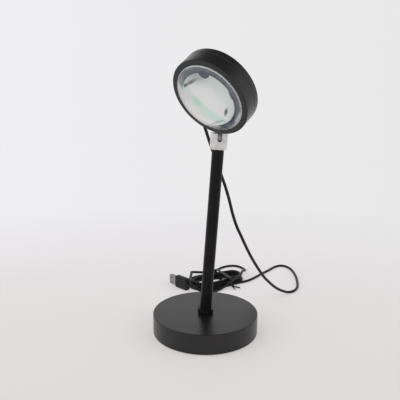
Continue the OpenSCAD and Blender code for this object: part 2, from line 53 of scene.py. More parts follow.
print("frame loaded:", len(nodes), "nodes")


# axes of the lamp, from its own joints
joints = {j["name"]: j for j in frame["joints"]}
ball = Vector(joints["ball_tilt"]["pos_m"])
poleAxis = Vector(joints["ball_swing"]["axis"])
tiltAxis = Vector(joints["ball_tilt"]["axis"])
studAxis = Vector(joints["head_turn"]["axis"])
lamp = dict(
    headTurn=-17.5,  # degrees about the stud
    drumRadius=40,
    studReach=13.5,  # ball's centre to the drum's side
    studBack=8.5,  # front of the drum to the stud's axis
    cupHeight=12,  # cup's foot to the ball's centre
    baseHeight=22,
)


def frameOf(origin, zAxis, yAxis):
    z = Vector(zAxis).normalized()
    y = (Vector(yAxis) - Vector(yAxis).dot(z) * z).normalized()
    matrix = Matrix((y.cross(z), y, z)).transposed().to_4x4()
    matrix.translation = origin
    return matrix


facing = Matrix.Rotation(math.radians(lamp["headTurn"]), 3, studAxis) @ -studAxis.cross(tiltAxis)
drumCentre = ball + studAxis * (lamp["studReach"] + lamp["drumRadius"]) * mm
headFrame = frameOf(drumCentre + facing * lamp["studBack"] * mm, facing, studAxis)
poleFrame = frameOf(Vector((0, 0, lamp["baseHeight"] * mm)), poleAxis, (0, 1, 0))
cupFrame = frameOf(ball - poleAxis * lamp["cupHeight"] * mm, poleAxis, (0, 1, 0))
studFrame = frameOf(ball, studAxis, facing)
floorFrame = Matrix.Identity(4)


# camera: 50 mm lens at the photograph's place
cameraSpot = dict(place=(-6.0, -547.0, 268.2), pitch=12.9, roll=0.178, lens=50, sensor=36)


def addObject(name, data):
    obj = bpy.data.objects.new(name, data)
    bpy.context.scene.collection.objects.link(obj)
    return obj


def makeCamera(spot):
    data = bpy.data.cameras.new("camera")
    data.lens = spot["lens"]
    data.sensor_width = spot["sensor"]
    data.clip_start, data.clip_end = 0.01, 50
    camera = addObject("camera", data)
    turn = Matrix.Rotation(math.radians(90 - spot["pitch"]), 4, "X")
    turn = turn @ Matrix.Rotation(math.radians(spot["roll"]), 4, "Z")
    camera.matrix_world = Matrix.Translation(Vector(spot["place"]) * mm) @ turn
    bpy.context.scene.camera = camera


makeCamera(cameraSpot)
print("camera placed")


def linkMesh(name, points, faces, smooth=True, sharp=40):
    mesh = bpy.data.meshes.new(name)
    mesh.from_pydata([tuple(p) for p in points], [], faces)
    mesh.update()
    obj = addObject(name, mesh)
    if smooth:
        mesh.shade_smooth()
        mesh.set_sharp_from_angle(angle=math.radians(sharp))
    return obj


def gridFaces(rings, around, closed=False, skip=()):
    faces = []
    for i in range(rings if closed else rings - 1):
        for k in range(around):
            if (i, k) not in skip:
                a, b = i * around, (i + 1) % rings * around
                faces.append((a + k, a + (k + 1) % around, b + (k + 1) % around, b + k))
    return faces


def endCaps(rings, around):
    return [tuple(reversed(range(around))), tuple(range((rings - 1) * around, rings * around))]


def sweep(name, path, section, matrix=None, twist=None, capped=True, closed=False, side=None):
    # a closed section of (side, up) points, carried along a path and turned about it only by twist
    points, count = [], len(path)
    for i, p in enumerate(path):
        before = path[i - 1] if i or closed else p
        after = path[(i + 1) % count] if closed or i < count - 1 else p
        along = (after - before).normalized()
        if side is None:
            side = along.cross(Vector((0.1, 0.2, 1))).normalized()
        side = (side - side.dot(along) * along).normalized()
        up = along.cross(side)
        angle = twist(i / (count - 1)) if twist else 0
        c, s = math.cos(angle), math.sin(angle)
        points += [p + side * (x * c - y * s) + up * (x * s + y * c) for x, y in section]
    around = len(section)
    faces = gridFaces(count, around, closed)
    if capped and not closed:
        faces += endCaps(count, around)
    obj = linkMesh(name, points, faces)
    if matrix:
        obj.data.transform(matrix)
    return obj


def lathe(name, profile, matrix, segments=128):
    # profile of (radius, height) in mm, from the axis to the axis
    points, rings = [], []
    for r, z in profile:
        if r == 0:
            rings.append([len(points)])
            points.append(Vector((0, 0, z * mm)))
        else:
            rings.append(list(range(len(points), len(points) + segments)))
            points += [Vector((r * math.cos(a), r * math.sin(a), z)) * mm
                       for a in (math.tau * k / segments for k in range(segments))]
    faces = []
    for low, high in zip(rings, rings[1:]):
        for k in range(segments):
            j = (k + 1) % segments
            if len(low) == 1:
                faces.append((low[0], high[j], high[k]))
            elif len(high) == 1:
                faces.append((low[k], low[j], high[0]))
            else:
                faces.append((low[k], low[j], high[j], high[k]))
    obj = linkMesh(name, points, faces)
    obj.data.transform(matrix)
    return obj


def arcPoints(cx, cy, r, start, end, steps):
    angles = [math.radians(start + (end - start) * k / steps) for k in range(steps + 1)]
    return [(cx + r * math.cos(a), cy + r * math.sin(a)) for a in angles]


def circleSection(radius, sides):
    return [(radius * math.cos(math.tau * k / sides), radius * math.sin(math.tau * k / sides))
            for k in range(sides)]


# lead: 3.3 mm PVC, from the strain relief to the floor, a loose loop, the hank and the plug
lead = dict(
    diameter=3.3,
    drop=[(-1.6, 21.2, 214.8), (1.2, 24.6, 206.4), (4.6, 25.6, 196.1), (9, 25.2, 184), (16.6, 25, 162.7),
          (20.8, 25.6, 150.9), (25.1, 27, 136.4), (29, 29.6, 121), (33.5, 34, 107), (39, 40, 94),
          (52, 54, 65), (67, 69, 38), (75.5, 78, 26), (86, 88, 14), (95.5, 96, 6.5), (104, 101.5, 2.4),
          (112, 107, 1.8), (118, 118, 1.8), (121, 133, 1.8), (123, 157, 1.8), (121.5, 181, 1.8),
          (117, 195, 1.8), (109, 200.5, 1.8), (99.5, 195, 1.8), (89, 181, 1.8), (78.5, 168, 1.8),
          (67, 152.5, 1.8), (58.5, 143, 1.8), (51.5, 138, 1.8)],
    loop=[(-17, 147, 9), (-17, 155, 8.4), (-9.5, 160, 6.6), (-0.5, 165, 4.6), (9, 172, 2.8),
          (18, 183, 1.8), (27, 193.5, 1.8), (37, 199, 1.8), (47, 197.5, 1.8), (54, 189, 1.8),
          (56.5, 178, 3.2), (54, 167, 7)],
    back=[(50.5, 157, 8.6), (48.5, 147, 8.6), (44.5, 138, 8.5), (38, 129, 7.9)],  # over the hank's end
    tail=[(30, 119.5, 6.2), (24, 114.5, 3.4), (17, 108.5, 1.8), (9, 102.5, 1.8), (1.5, 99.3, 3),
          (-5.5, 99.3, 5.2)],
    soft=[30.5, 68.5, 200],  # lengths along the lead where it passes from body to body
    turning=[30, 36, 131],  # a length along each such stretch, from its upper end, where a point is found and not used
    sides=20,
)
hank = dict(
    at=(1, 131), turn=27, reach=39.5, leftRadius=24.5, rightRadius=19,  # the two round ends
    bundle=6.6,  # rim to the middle of the bundle
    turns=(0.13, 5.56), steps=16,  # where the winding starts and ends, and points a turn
    floor=1.8, pitch=3.35,
    rimTurn=1.38, floorTurns=3,  # how far out the lead starts, in pitches, and its turns on the floor
    # each step has the turn at which it starts, the part of a turn that it takes, and how far it goes
    climb=(2.85, 0.3, 3.3), lastClimb=(4.72, 0.26, 3.3),  # onto the floor turns, and onto the top
    stepOut=(2.9, 0.25, 1.8425), growth=0.98,  # the upper turns start and spread outwards
    stepIn=(4.72, 0.3, 3.9),  # the last turn crosses inwards
    splay=0.28,  # how much looser the left end lies
    wander=0.3,
)
plug = dict(
    at=(-28, 119), turn=135, moldLength=20, moldWidth=15.5, moldThick=8, corner=2.2, relief=8,
    shellLength=12, shellWidth=12, shellThick=4.5, wall=0.35,
)
gland = dict(angle=26, tip=51, depth=-15.925, gap=0.05)


def plugPoint(along, side=0, up=0):
    turn = math.radians(plug["turn"])
    axis = Vector((math.cos(turn), math.sin(turn), 0))
    return (Vector((*plug["at"], plug["moldWidth"] / 2)) + along * axis
            + side * Vector((-axis.y, axis.x, 0)) + up * Vector((0, 0, 1)))


def ease(x):
    x = min(max(x, 0), 1)
    return x * x * (3 - 2 * x)


def hankPoint(t, offset, height):
    # t goes once round the hank, clockwise from its right end
    left = hank["leftRadius"] - hank["bundle"] + offset
    right = hank["rightRadius"] - hank["bundle"] + offset
    taper = math.asin((hank["leftRadius"] - hank["rightRadius"]) / hank["reach"])
    quarter, line = math.pi / 2 - taper, hank["reach"] * math.cos(taper)
    lengths = [right * quarter, line, left * (math.pi + 2 * taper), line, right * quarter]
    s, part = t % 1 * sum(lengths), 0
    while s > lengths[part] and part < 4:
        s -= lengths[part]
        part += 1
    if part in (1, 3):
        f = s / line if part == 1 else 1 - s / line
        normal = Vector((math.sin(taper), math.cos(taper) * (-1 if part == 1 else 1)))
        p = (1 - f) * (Vector((hank["reach"], 0)) + right * normal) + f * left * normal
    elif part == 2:
        a = -quarter - s / left
        p = left * Vector((math.cos(a), math.sin(a)))
    else:
        a = -s / right if part == 0 else quarter - s / right
        p = Vector((hank["reach"], 0)) + right * Vector((math.cos(a), math.sin(a)))
    turn = math.radians(hank["turn"])
    c, s = math.cos(turn), math.sin(turn)
    return Vector((hank["at"][0] + p.x * c - p.y * s, hank["at"][1] + p.x * s + p.y * c, height))


def hankTurns():
    # three turns on the floor from the rim inwards, two on them from the hole outwards, one on top
    first, last = hank["turns"]
    count = round((last - first) * hank["steps"])
    floorTurns, pitch = hank["floorTurns"], hank["pitch"]

    def moved(name, u):
        start, share, distance = hank[name]
        return distance * ease((u - start) / share)

    points = []
    for i in range(count + 1):
        u = first + (last - first) * i / count
        offset = pitch * (hank["rimTurn"] - min(u, floorTurns) + hank["growth"] * max(u - floorTurns, 0))
        offset += moved("stepOut", u) - moved("stepIn", u)
        height = hank["floor"] + moved("climb", u) + moved("lastClimb", u)
        loose = ease((0.5 - abs(u % 1 - 0.5)) * 2 - 0.15)
        offset *= 1 + hank["splay"] * loose
        offset += hank["wander"] * (math.sin(7.3 * u) * 0.6 + math.sin(17.1 * u + 1) * 0.4)
        points.append(hankPoint(u, offset, height))
    return points


def leadRoute():
    out = Vector((-math.sin(math.radians(gland["angle"])), -math.cos(math.radians(gland["angle"])), 0))
    exitPoint = headFrame @ ((out * (gland["tip"] + gland["gap"]) + Vector((0, 0, gland["depth"]))) * mm)
    outWorld = headFrame.to_3x3() @ out
    route = [exitPoint / mm + outWorld * d for d in (0, 2, 4)] + [Vector(p) for p in lead["drop"]]
    route += hankTurns()
    route += [Vector(p) for p in lead["loop"] + lead["back"] + lead["tail"]]
    reliefEnd = -plug["moldLength"] / 2 - plug["relief"]
    return route + [plugPoint(reliefEnd - d, up=-d / 10 * d / 6) for d in (6, 3, 0)]


def smoothCurve(points, steps):
    out, last = [], len(points) - 1
    for i in range(last):
        a, b, c, d = points[max(i - 1, 0)], points[i], points[i + 1], points[min(i + 2, last)]
        for k in range(steps):
            t = k / steps
            out.append(0.5 * (2 * b + (c - a) * t + (2 * a - 5 * b + 4 * c - d) * t * t
                              + (3 * b - a - 3 * c + d) * t * t * t))
    return out + [points[last]]


def lengthOf(path):
    return sum((b - a).length for a, b in zip(path, path[1:]))


def cutAt(path, marks):
    # splits a path at lengths along it, each cut point belonging to both neighbours
    parts, part, done, marks = [], [path[0]], 0, list(marks)
    for a, b in zip(path, path[1:]):
        step = (b - a).length
        while marks and done + step >= marks[0]:
            cut = a.lerp(b, (marks.pop(0) - done) / step)
            parts.append(part + [cut])
            part = [cut]
        part.append(b)
        done += step
    return parts + [part]


def makeLead():
    line = [p * mm for p in smoothCurve(leadRoute(), 8)]
    upper = cutAt(line, [s * mm for s in lead["soft"]])
    radius = lead["diameter"] * mm / 2
    section = circleSection(radius, lead["sides"])
    made = []
    for k, (part, turning) in enumerate(zip(upper, lead["turning"])):
        piece = sweep(f"leadUpper{k + 1}", part, section, capped=False)
        cutAt(part, [turning * mm])[0][-1]
        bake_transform(piece)
        made.append(piece)
    lower = sweep("leadLower", upper[3], section, capped=False)
    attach(lower, "stand")
    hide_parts("cord_drop", "cord_hank", "cord_loop", "cord_tail")
    print("lead:", round(lengthOf(line), 3), "m,", len(line), "points")
    return made, lower, upper[3]


leadUpper, leadLower, lowerPath = makeLead()


def linear(hexCode):
    values = [int(hexCode[i:i + 2], 16) / 255 for i in (1, 3, 5)]
    return tuple(v / 12.92 if v <= 0.04045 else ((v + 0.055) / 1.055) ** 2.4 for v in values) + (1,)


def addNode(tree, kind, settings=None, **sockets):
    # a socket is given by its name, with _ for a blank, or as s0, s1 ... where names repeat
    node = tree.nodes.new("ShaderNode" + kind)
    for key, value in (settings or {}).items():
        setattr(node, key, value)
    for key, value in sockets.items():
        socket = node.inputs[int(key[1:]) if key[1:].isdigit() else key.replace("_", " ")]
        if isinstance(value, bpy.types.NodeSocket):
            tree.links.new(value, socket)
        else:
            socket.default_value = value
    return node


def newMaterial(name, **values):
    material = bpy.data.materials.new(name)
    material.use_nodes = True
    tree = material.node_tree
    tree.nodes.clear()
    shader = addNode(tree, "BsdfPrincipled", **values)
    addNode(tree, "OutputMaterial", Surface=shader.outputs[0])
    return material, tree, shader


def place(tree, matrix):
    # coordinates in metres in the piece's own frame
    coords = addNode(tree, "TexCoord")
    turned = addNode(tree, "Mapping", dict(vector_type="TEXTURE"), Vector=coords.outputs["Object"],
                     Location=matrix.translation, Rotation=matrix.to_euler())
    return turned.outputs[0]


def mottle(tree, spot, sizeMm, detail=3, stretch=(1, 1, 1)):
    # soft patches about sizeMm across, drawn out along the piece's own axes
    drawnOut = addNode(tree, "Mapping", Vector=spot, Scale=[1 / s for s in stretch])
    patches = addNode(tree, "TexNoise", Vector=drawnOut.outputs[0], Scale=1000 / sizeMm, Detail=detail,
                      Roughness=0.5)
    return patches.outputs["Fac"]


def axisRadius(tree, parts):
    # distance from the piece's own Z axis
    flat = addNode(tree, "CombineXYZ", X=parts.outputs[0], Y=parts.outputs[1], Z=0.0)
    return addNode(tree, "VectorMath", dict(operation="LENGTH"), s0=flat.outputs[0]).outputs["Value"]


def turnLines(tree, spot, pitchMm):
    # lathe lines: rings along the axis on a side, rings by radius on a face
    parts = addNode(tree, "SeparateXYZ", Vector=spot)
    ring = addNode(tree, "CombineXYZ", X=axisRadius(tree, parts), Y=parts.outputs[2], Z=0.0)
    lines = addNode(tree, "TexNoise", Vector=ring.outputs[0], Scale=1000 / pitchMm, Detail=2.0,
                    Roughness=0.6)
    return lines.outputs["Fac"]


def twoTones(tree, value, tones, reach=(0.35, 0.65)):
    # from the first tone to the second as the value crosses its reach
    share = addNode(tree, "MapRange", s0=value, s1=reach[0], s2=reach[1])
    mix = addNode(tree, "Mix", dict(data_type="RGBA"), s0=share.outputs[0], s6=linear(tones[0]),
                  s7=linear(tones[1]))
    return mix.outputs[2]


def layFinish(tree, shader, tone=None, roughness=None, relief=()):
    # tone is a colour, roughness a pattern and its two values, relief patterns with depths in mm
    if tone:
        tree.links.new(tone, shader.inputs["Base Color"])
    if roughness:
        value, (low, high) = roughness
        rough = addNode(tree, "MapRange", s0=value, s1=0.3, s2=0.7, s3=low, s4=high)
        tree.links.new(rough.outputs[0], shader.inputs["Roughness"])
    normal = None
    for height, depth in relief:
        bump = addNode(tree, "Bump", Height=height, Distance=depth * mm, Strength=1.0)
        if normal:
            tree.links.new(normal, bump.inputs["Normal"])
        normal = bump.outputs[0]
    if normal:
        tree.links.new(normal, shader.inputs["Normal"])


def powderCoat():
    # satin black polyester powder on spun steel: a soft orange-peel sheen with fine grain in it
    look = dict(tones=("#0c090d", "#110e12"), cloud=28, peel=1.1, peelDepth=0.012,
                grain=0.22, grainDepth=0.006, roughness=(0.30, 0.36))
    material, tree, shader = newMaterial("powderCoat", Roughness=0.33, Specular_IOR_Level=0.5)
    spot = place(tree, floorFrame)
    cloud = mottle(tree, spot, look["cloud"])
    peel = mottle(tree, spot, look["peel"], 2)
    grain = mottle(tree, spot, look["grain"], 1)
    layFinish(tree, shader, twoTones(tree, cloud, look["tones"]), (cloud, look["roughness"]),
              [(peel, look["peelDepth"]), (grain, look["grainDepth"])])
    return material


def drawnTube():
    # black anodised drawn tube: faint lines along it, so that its highlight breaks into streaks
    look = dict(tones=("#111111", "#171718"), cloud=14, lineWidth=0.35, lineLength=40, lineDepth=0.004,
                roughness=(0.34, 0.46))
    material, tree, shader = newMaterial("drawnAnodisedTube", Metallic=0.2, Roughness=0.36,
                                         Specular_IOR_Level=0.15)
    spot = place(tree, poleFrame)
    lines = mottle(tree, spot, look["lineWidth"], 2, (1, 1, look["lineLength"] / look["lineWidth"]))
    cloud = mottle(tree, spot, look["cloud"])
    layFinish(tree, shader, twoTones(tree, cloud, look["tones"]), (lines, look["roughness"]),
              [(lines, look["lineDepth"])])
    return material


def turnedDrum():
    # black anodised aluminium, turned: fine rings round the axis that smear the highlight sideways
    look = dict(tones=("#151516", "#1b1b1c"), band=1.9, cloud=9, pitch=0.32, depth=0.004,
                roughness=(0.22, 0.30))
    material, tree, shader = newMaterial("turnedAnodisedAluminium", Metallic=0.1, Roughness=0.26,
                                         Specular_IOR_Level=0.5)
    spot = place(tree, headFrame)
    rings = turnLines(tree, spot, look["pitch"])
    tone = twoTones(tree, turnLines(tree, spot, look["band"]), look["tones"])
    cloud = mottle(tree, spot, look["cloud"])
    layFinish(tree, shader, tone, (cloud, look["roughness"]), [(rings, look["depth"])])
    return material


def turnedCup():
    # bare turned aluminium with a light satin: pale, slightly warm, with lathe rings
    look = dict(tones=("#c9c5c4", "#e0dcdb"), cloud=5, pitch=0.25, depth=0.006, roughness=(0.28, 0.40))
    material, tree, shader = newMaterial("turnedAluminium", Metallic=1.0, Roughness=0.33)
    spot = place(tree, cupFrame)
    rings = turnLines(tree, spot, look["pitch"])
    layFinish(tree, shader, twoTones(tree, mottle(tree, spot, look["cloud"]), look["tones"]),
              (rings, look["roughness"]), [(rings, look["depth"])])
    return material


def tumbledBall():
    # tumbled steel ball: grey satin with hairline marks
    look = dict(tone="#9a9a9c", markWidth=0.5, markLength=4, depth=0.001, roughness=(0.38, 0.5))
    material, tree, shader = newMaterial("tumbledSteel", Metallic=0.6, Base_Color=linear(look["tone"]))
    drawnOut = (1, 1, look["markLength"] / look["markWidth"])
    marks = mottle(tree, place(tree, studFrame), look["markWidth"], 3, drawnOut)
    layFinish(tree, shader, None, (marks, look["roughness"]), [(marks, look["depth"])])
    return material


def zincPlate(spotFrame):
    # zinc plate on turned steel: grey-blue, a little cloudy, soft highlight
    look = dict(tones=("#9a9da3", "#b9bcc0"), cloud=2.5, pitch=0.2, depth=0.005, roughness=(0.30, 0.48))
    material, tree, shader = newMaterial("zincPlate", Metallic=1.0, Roughness=0.36)
    spot = place(tree, spotFrame)
    cloud = mottle(tree, spot, look["cloud"], 4)
    layFinish(tree, shader, twoTones(tree, cloud, look["tones"]), (cloud, look["roughness"]),
              [(turnLines(tree, spot, look["pitch"]), look["depth"])])
    return material


def blackOxide(name, spotFrame):
    # black oxide on steel: dark, oily satin, with brighter metal where tools touched it
    look = dict(tones=("#1d1d1f", "#2a2a2c"), cloud=1.6, grain=0.25, depth=0.008, roughness=(0.30, 0.50))
    material, tree, shader = newMaterial(name, Metallic=0.7, Roughness=0.38)
    spot = place(tree, spotFrame)
    cloud = mottle(tree, spot, look["cloud"], 4)
    layFinish(tree, shader, twoTones(tree, cloud, look["tones"]), (cloud, look["roughness"]),
              [(mottle(tree, spot, look["grain"], 2), look["depth"])])
    return material


def castIron():
    # grey sand casting: pits and grains about a millimetre across
    look = dict(tones=("#3f3e3f", "#5a595a"), grain=1.1, depth=0.12)
    material, tree, shader = newMaterial("castIron", Metallic=0.6, Roughness=0.7)
    grains = mottle(tree, place(tree, floorFrame), look["grain"], 5)
    layFinish(tree, shader, twoTones(tree, grains, look["tones"]), None, [(grains, look["depth"])])
    return material


def evaFoam():
    # closed-cell foam sheet: matt, with cells about 0.4 mm across
    look = dict(tones=("#242325", "#343335"), cell=0.4, depth=0.05)
    material, tree, shader = newMaterial("evaFoam", Roughness=0.92)
    cells = addNode(tree, "TexVoronoi", Vector=place(tree, floorFrame), Scale=1000 / look["cell"])
    height = cells.outputs["Distance"]
    layFinish(tree, shader, twoTones(tree, height, look["tones"], (0.2, 0.7)),
              relief=[(height, look["depth"])])
    return material


def lensGlass():
    # pressed and fire-polished crown glass, clear with a trace of green
    look = dict(tone="#fefffe", wave=9, depth=0.01)
    material, tree, shader = newMaterial("crownGlass", Base_Color=linear(look["tone"]), IOR=1.52,
                                         Transmission_Weight=1.0, Roughness=0.0)
    wave = mottle(tree, place(tree, headFrame), look["wave"], 1)
    layFinish(tree, shader, relief=[(wave, look["depth"])])
    return material


def groundGlass():
    # the lens's ground edge: frosted by the grinding wheel
    look = dict(tone="#eef3f2", grit=0.3, depth=0.03)
    material, tree, shader = newMaterial("groundGlass", Base_Color=linear(look["tone"]), IOR=1.52,
                                         Transmission_Weight=0.4, Roughness=0.35)
    grit = mottle(tree, place(tree, headFrame), look["grit"], 2)
    layFinish(tree, shader, relief=[(grit, look["depth"])])
    return material


def dichroicGlass():
    # multilayer coating on glass: a pale mirror whose tint drifts between green and rose
    look = dict(tones=("#e4ebe8", "#efdde2"), drift=26, green="#bfe3d2", greenDrift=17,
                roughness=(0.08, 0.2))
    material, tree, shader = newMaterial("dichroicGlass", Metallic=0.9, Roughness=0.12)
    spot = place(tree, headFrame)
    drift = mottle(tree, spot, look["drift"], 1)
    greenDrift = mottle(tree, spot, look["greenDrift"], 1, (1, 2.4, 1))
    greenShare = addNode(tree, "MapRange", s0=greenDrift, s1=0.45, s2=0.62)
    tint = addNode(tree, "Mix", dict(data_type="RGBA"), s0=greenShare.outputs[0],
                   s6=twoTones(tree, drift, look["tones"], (0.45, 0.6)), s7=linear(look["green"]))
    layFinish(tree, shader, tint.outputs[2], (drift, look["roughness"]))
    return material


def softRubber(name, tones, spotFrame, grain=0.5, roughness=0.62):
    # moulded elastomer: matt skin with a fine spark-eroded grain
    material, tree, shader = newMaterial(name, Roughness=roughness, Specular_IOR_Level=0.3)
    spot = place(tree, spotFrame)
    skin = mottle(tree, spot, grain)
    layFinish(tree, shader, twoTones(tree, mottle(tree, spot, 6), tones),
              (skin, (roughness - 0.06, roughness + 0.08)), [(skin, 0.02)])
    return material


def mouldedPlastic(name, tones, spotFrame, roughness=0.3, flow=7):
    # glossy moulded resin: flow marks in the colour and a faint ripple in the skin
    material, tree, shader = newMaterial(name, Roughness=roughness, IOR=1.5)
    spot = place(tree, spotFrame)
    marks = mottle(tree, spot, flow, 2)
    layFinish(tree, shader, twoTones(tree, marks, tones),
              (mottle(tree, spot, 0.6, 2), (roughness - 0.04, roughness + 0.08)), [(marks, 0.02)])
    return material


def nickelPlate():
    # nickel plate on pressed steel strip: warm grey, rolled lines along the shell
    look = dict(tones=("#8d8b8b", "#a9a7a7"), cloud=1.8, lines=0.2, depth=0.004, roughness=(0.24, 0.4))
    material, tree, shader = newMaterial("nickelPlate", Metallic=1.0, Roughness=0.3)
    spot = place(tree, floorFrame)
    cloud = mottle(tree, spot, look["cloud"])
    layFinish(tree, shader, twoTones(tree, cloud, look["tones"]), (cloud, look["roughness"]),
              [(mottle(tree, spot, look["lines"], 2), look["depth"])])
    return material


def goldFlash():
    # hard gold on the contacts, dull where they wipe
    look = dict(tone="#d9b266", wipe=0.8, roughness=(0.2, 0.36))
    material, tree, shader = newMaterial("goldFlash", Metallic=1.0, Base_Color=linear(look["tone"]))
    wipe = mottle(tree, place(tree, floorFrame), look["wipe"])
    layFinish(tree, shader, None, (wipe, look["roughness"]))
    return material


def giveMaterial(obj, *materials):
    obj.data.materials.clear()
    for material in materials:
        obj.data.materials.append(material)


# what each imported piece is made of; a resin or rubber is given by its two tones
def dressNodes():
    wear = {
        powderCoat(): ["base_shell", "bottom_plate"],
        drawnTube(): ["pole_tube"],
        turnedDrum(): ["front_housing", "rear_cover"],
        turnedCup(): ["ball_cup", "neck_insert"],
        tumbledBall(): ["ball_stud"],
        zincPlate(poleFrame): ["bottom_washer", "bottom_nut", "foot_nipple", "neck_spring"],
        zincPlate(headFrame): ["stud_washer", "stud_nut", "board_screws"],
        blackOxide("blackOxideNut", poleFrame): ["lock_nut"],
        blackOxide("blackOxideScrew", headFrame): ["cover_screws"],
        castIron(): ["base_weight"],
        evaFoam(): ["foot_pad"],
        dichroicGlass(): ["filter_disc"],
        softRubber("siliconeGasket", ("#6b6d77", "#71737d"), headFrame): ["lens_gasket"],
        softRubber("pvcRelief", ("#1b1b1c", "#212122"), headFrame): ["cord_gland"],
        mouldedPlastic("acetal", ("#dedace", "#d2cdbf"), cupFrame, 0.4): ["ball_seat"],
        mouldedPlastic("whitePolycarbonate", ("#e6e6e2", "#dcdcd8"), headFrame, 0.28): ["reflector"],
        mouldedPlastic("solderMask", ("#e4e4de", "#d6d6d0"), headFrame, 0.34, 3): ["led_board"],
        mouldedPlastic("phosphorSilicone", ("#dcb43a", "#cda02c"), headFrame, 0.35, 1.2): ["led_chip"],
        mouldedPlastic("resistorCoat", ("#1c1c1e", "#26262a"), headFrame, 0.4, 1.5): ["driver_resistor"],
        mouldedPlastic("redInsulation", ("#a31d18", "#8f1713"), headFrame, 0.42, 2): ["led_wires"],
        mouldedPlastic("whitePbt", ("#dfdfdc", "#d2d2cf"), floorFrame, 0.4, 3): ["usb_tongue"],
    }
    for material, names in wear.items():
        for name in names:
            giveMaterial(nodes[name], material)
    print("materials on", sum(len(n) for n in wear.values()), "nodes")


dressNodes()
sheath = softRubber("pvcSheath", ("#0d0d0e", "#131314"), floorFrame, 1.2, 0.42)
for piece in leadUpper + [leadLower]:
    giveMaterial(piece, sheath)


# lens: plano-convex, 68.8 mm across, with a film and a grey seat wetted onto its flat back
lens = dict(
    radius=34.4, back=-3.0, edge=3.9, sag=11, chamfer=0.35, rings=40,
    opening=25.2,  # of the seat, round the film
    lug=95, lugRadius=5.6, lugOut=1,  # the lug's place in degrees, and its centre past the opening
    wet=-2.96, skin=0.02,  # film and seat lie just inside the glass
    filmFit=0.9995,  # the film against the seat's opening
)


def bands(tree, value, stops):
    # colours at given places in mm along a value in metres
    low, high = stops[0][0], stops[-1][0]
    along = addNode(tree, "MapRange", s0=value, s1=low * mm, s2=high * mm)
    ramp = addNode(tree, "ValToRGB", Fac=along.outputs[0])
    elements = ramp.color_ramp.elements
    while len(elements) < len(stops):
        elements.new(0.5)
    for element, (at, colour) in zip(elements, stops):
        element.position = (at - low) / (high - low)
        element.color = linear(colour)
    return ramp.outputs[0]


def blots(tree, spot, under, marks):
    # soft ovals laid over a colour, given as
    # centre in mm, half axes in mm, turn in degrees, softness, strength and colour
    for (x, y), (a, b), turn, soft, strength, colour in marks:
        oval = addNode(tree, "Mapping", dict(vector_type="TEXTURE"), Vector=spot,
                       Location=(x * mm, y * mm, lens["wet"] * mm), Rotation=(0, 0, math.radians(turn)),
                       Scale=(a * mm, b * mm, 1))
        reach = addNode(tree, "VectorMath", dict(operation="LENGTH"), s0=oval.outputs[0])
        share = addNode(tree, "MapRange", s0=reach.outputs["Value"], s1=1 - soft, s2=1 + soft,
                        s3=strength, s4=0)
        laid = addNode(tree, "Mix", dict(data_type="RGBA"), s0=share.outputs[0], s6=under,
                       s7=linear(colour))
        under = laid.outputs[2]
    return under


def dichroicFilm():
    # interference film: a pale mirror whose thickness drifts, so that a band goes green, its flanks
    # rose; its dark streaks and white ovals are painted reflections and painted highlights
    look = dict(
        turn=-35.3,  # of the green band
        stops=[(-26, "#fbfafa"), (-19, "#f8f3f4"), (-16.5, "#f0f6f4"), (-13, "#e6f6f1"),
               (-9.5, "#ddf5ed"), (-6.5, "#e9f6f2"), (-4, "#fafcfd"), (12, "#fdffff"), (26, "#fdffff")],
        wander=8, wanderSize=9,  # how far the band strays, and over what length
        marks=[
            ((-20.5, -3.5), (4.5, 4), 0, 0.8, 0.7, "#f1e5e9"),
            ((12.5, -8), (3, 5), 0, 0.9, 0.6, "#f6e9ed"),
            ((-10, -3.3), (4.4, 3.0), -35, 0.7, 0.9, "#c3eadd"),
            ((6.5, -16.6), (4.5, 2.6), 20, 0.7, 0.9, "#daf1ea"),
            ((-16, 17.5), (9, 2.6), 40, 0.6, 0.6, "#f4f8f9"),
            # painted reflections: the lugs and the filter's edge as the dome shows them, laid on the
            # film as dark streaks and spots
            ((-15.4, 12.8), (6.2, 1.4), 40, 0.6, 1.0, "#7f8785"),
            ((-8, 18.3), (6, 1.3), 28, 0.7, 0.35, "#a9a9b2"),
            ((-21.2, 8.0), (2.7, 1.4), 42, 0.5, 1.0, "#4c6a5e"),
            ((8, -20), (7, 1.0), 31, 0.6, 0.8, "#9fb3aa"),
            ((16.7, -7.1), (1.3, 4.1), -17, 0.5, 1.0, "#5f655f"),
            # painted highlights along the right edge
            ((22.9, 0.5), (1.4, 6), 5, 0.5, 1.0, "#ffffff"),
            ((19.6, -10.8), (1.5, 6), -31, 0.5, 1.0, "#ffffff"),
            ((23.2, 10.5), (1.7, 4.5), 22, 0.4, 0.9, "#6f707f"),
            # painted highlight at the bottom of the dome
            ((-4.5, -22.8), (6.5, 2.4), 8, 0.6, 1.0, "#ffffff"),
        ],
    )
    material, tree, shader = newMaterial("dichroicFilm", Metallic=0.88, Roughness=0.3)
    spot = place(tree, headFrame)
    turned = addNode(tree, "Mapping", Vector=spot, Rotation=(0, 0, math.radians(-look["turn"])))
    across = addNode(tree, "SeparateXYZ", Vector=turned.outputs[0])
    cloud = mottle(tree, spot, look["wanderSize"], 1)
    wander = addNode(tree, "Math", dict(operation="MULTIPLY_ADD"), s0=cloud, s1=look["wander"] * mm,
                     s2=-look["wander"] / 2 * mm)
    drift = addNode(tree, "Math", dict(operation="ADD"), s0=across.outputs[1], s1=wander.outputs[0])
    colour = blots(tree, spot, bands(tree, drift.outputs[0], look["stops"]), look["marks"])
    layFinish(tree, shader, colour)
    return material


